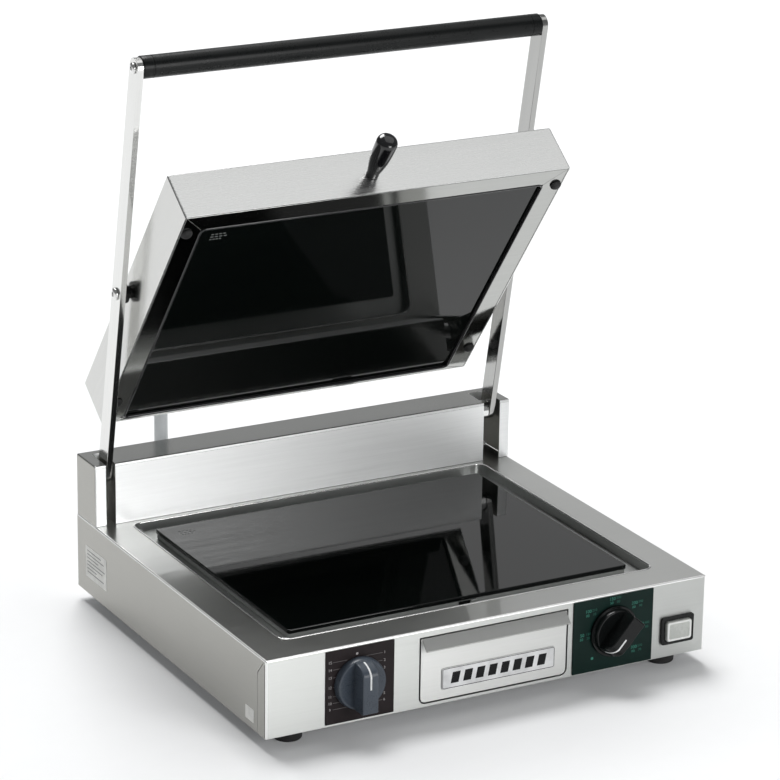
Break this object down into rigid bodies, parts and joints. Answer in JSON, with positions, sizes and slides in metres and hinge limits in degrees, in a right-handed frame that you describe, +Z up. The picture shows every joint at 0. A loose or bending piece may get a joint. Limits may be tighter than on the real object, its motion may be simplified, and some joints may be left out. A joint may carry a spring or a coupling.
{
  "type": "panini press",
  "caption": "Contact grill with a bent-sheet base, black glass plates, a lid hung between swinging arms with a round handle, a crumb drawer and dial knobs.",
  "frame": {"origin": "middle of the whole object's footprint with the lid open, on the surface the feet stand on", "axes": "+Z up, +X to the operator's right, -Y towards the operator (the front panel faces -Y)"},
  "size_m": [0.43, 0.4618, 0.5276],
  "materials": {
    "stainless": "brushed stainless sheet",
    "polished_steel": "polished stainless",
    "inner_steel": "plain zinc-plated steel",
    "plate_glass": "black glass-ceramic, polished",
    "black_plastic": "glossy black moulded plastic",
    "grey_knob": "blue-grey moulded plastic, satin",
    "switch_lens": "pale grey button",
    "timer_dial": "dark printed plate",
    "thermostat_dial": "dark green printed plate",
    "badge_white": "white lacquered badge",
    "rubber_black": "matt black rubber",
    "board": "rigid mineral-fibre board",
    "ceramic": "white ceramic",
    "conduit_skin": "pale smooth flexible conduit"
  },
  "bodies": {
    "base": {"base_shell": "stainless", "bottom_plate": "inner_steel", "rear_panel": "stainless", "foot_front_left": "rubber_black", "foot_front_right": "rubber_black", "foot_rear_left": "rubber_black", "foot_rear_right": "rubber_black", "lower_glass_seal": "rubber_black", "lower_glass": "plate_glass", "lower_heater_dish": "board", "lower_heating_element": "inner_steel", "housing_cover": "stainless", "hinge_bearing_left": "inner_steel", "hinge_bearing_right": "inner_steel", "balance_spring_left": "inner_steel", "balance_spring_right": "inner_steel", "timer_plate": "timer_dial", "thermostat_plate": "thermostat_dial", "timer_mechanism": "inner_steel", "thermostat_mechanism": "inner_steel", "switch_housing": "black_plastic", "drawer_rail_left": "inner_steel", "drawer_rail_right": "inner_steel", "terminal_block": "ceramic", "mains_gland": "black_plastic", "conduit_gland_base": "black_plastic", "conduit": "conduit_skin"},
    "arms": {"arm_left": "polished_steel", "arm_right": "polished_steel", "handle_tube": "black_plastic", "handle_bolt_left": "polished_steel", "handle_bolt_right": "polished_steel", "hinge_shaft": "inner_steel", "hinge_collar": "polished_steel"},
    "lid_carrier": {"pivot_disc_left": "black_plastic", "pivot_disc_right": "black_plastic", "pivot_bolt_left": "polished_steel", "pivot_bolt_right": "polished_steel", "lid_shaft": "inner_steel"},
    "lid": {"lid_cover": "stainless", "lid_frame": "polished_steel", "upper_glass": "plate_glass", "upper_glass_seal": "rubber_black", "upper_heater_dish": "board", "upper_heating_element": "inner_steel", "lid_knob": "black_plastic", "bumper_front_left": "rubber_black", "bumper_front_right": "rubber_black", "bumper_rear_left": "rubber_black", "bumper_rear_right": "rubber_black", "conduit_gland_lid": "black_plastic"},
    "drawer": {"drawer_front": "stainless", "drawer_tray": "inner_steel", "drawer_badge": "badge_white"},
    "timer_dial": {"timer_knob": "grey_knob", "timer_shaft": "inner_steel"},
    "thermostat_dial": {"thermostat_knob": "black_plastic", "thermostat_shaft": "inner_steel"},
    "switch_button": {"switch_button": "switch_lens"}
  },
  "joints": [
    {"name": "arm_swing", "type": "hinge", "parent": "base", "child": "arms", "pos_m": [0, 0.14999, 0.128], "axis": [1, 0, 0], "range_deg": [0, 80.7], "stiffness_Nm_per_rad": 3.4, "springref_deg": -63.03, "deforming": ["conduit"]},
    {"name": "lid_level", "type": "hinge", "parent": "arms", "child": "lid_carrier", "pos_m": [0, 0.11425, 0.30605], "axis": [1, 0, 0], "range_deg": [-27.91, 0], "deforming": ["conduit"]},
    {"name": "lid_tilt", "type": "hinge", "parent": "lid_carrier", "child": "lid", "pos_m": [0, 0.11425, 0.30605], "axis": [1, 0, 0], "range_deg": [-27, 0], "deforming": ["conduit"]},
    {"name": "drawer_slide", "type": "slide", "parent": "base", "child": "drawer", "axis": [0, -1, 0], "range_m": [0, 0.2]},
    {"name": "timer_turn", "type": "hinge", "parent": "base", "child": "timer_dial", "pos_m": [-0.1295, -0.20731, 0.0482], "axis": [0, 1, 0], "range_deg": [0, 300]},
    {"name": "thermostat_turn", "type": "hinge", "parent": "base", "child": "thermostat_dial", "pos_m": [0.1198, -0.20731, 0.0478], "axis": [0, 1, 0], "range_deg": [0, 270]},
    {"name": "switch_press", "type": "slide", "parent": "base", "child": "switch_button", "axis": [0, 1, 0], "range_m": [0, 0.003], "stiffness_N_per_m": 500}
  ],
  "couplings": [
    {"joint": "lid_level", "follows": "arm_swing", "ratio": -0.3457}
  ]
}
